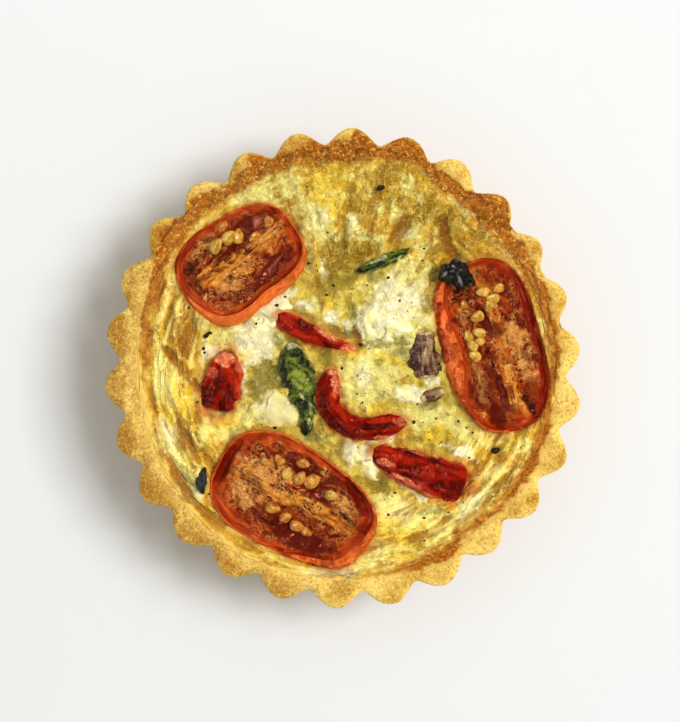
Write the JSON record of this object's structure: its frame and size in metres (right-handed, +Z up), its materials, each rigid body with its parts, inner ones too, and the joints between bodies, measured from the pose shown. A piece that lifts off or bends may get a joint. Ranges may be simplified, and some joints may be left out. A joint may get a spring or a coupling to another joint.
{
  "type": "quiche",
  "caption": "Small round quiche in a fluted shortcrust case, its baked egg custard topped with roasted tomato halves, red pepper, leaves, red onion and melted cheese.",
  "frame": {"origin": "centre of the flat underside of the pastry case", "axes": "+Z up out of the filling; +Y towards the side where the custard has browned over the rim"},
  "size_m": [0.0992, 0.0998, 0.0264],
  "materials": {
    "pastry": "dry baked shortcrust, golden with browner edges",
    "custard": "baked egg custard, pale yellow and browned in patches, slightly shiny",
    "tomato": "roasted tomato, wet flesh and glossy orange-red skin",
    "pepper": "roasted red pepper, oily",
    "leaf": "wilted green leaf, dull",
    "charred_leaf": "burnt leaf, nearly black, crisp",
    "onion": "baked red onion, brown and grey-purple",
    "cheese": "soft melted white cheese"
  },
  "bodies": {
    "root": {"pastry_case": "pastry", "filling": "custard", "tomato_half_rear_left": "tomato", "tomato_half_right": "tomato", "tomato_half_front_left": "tomato", "pepper_strip_rear": "pepper", "pepper_strip_curved": "pepper", "pepper_piece_right": "pepper", "pepper_piece_left": "pepper", "leaf_rear": "leaf", "leaf_centre": "leaf", "leaf_charred_right": "charred_leaf", "leaf_charred_left": "charred_leaf", "onion_piece_large": "onion", "onion_piece_small": "onion", "cheese_rear": "cheese", "cheese_left": "cheese", "cheese_middle": "cheese", "cheese_front": "cheese", "cheese_right": "cheese"}
  },
  "joints": []
}
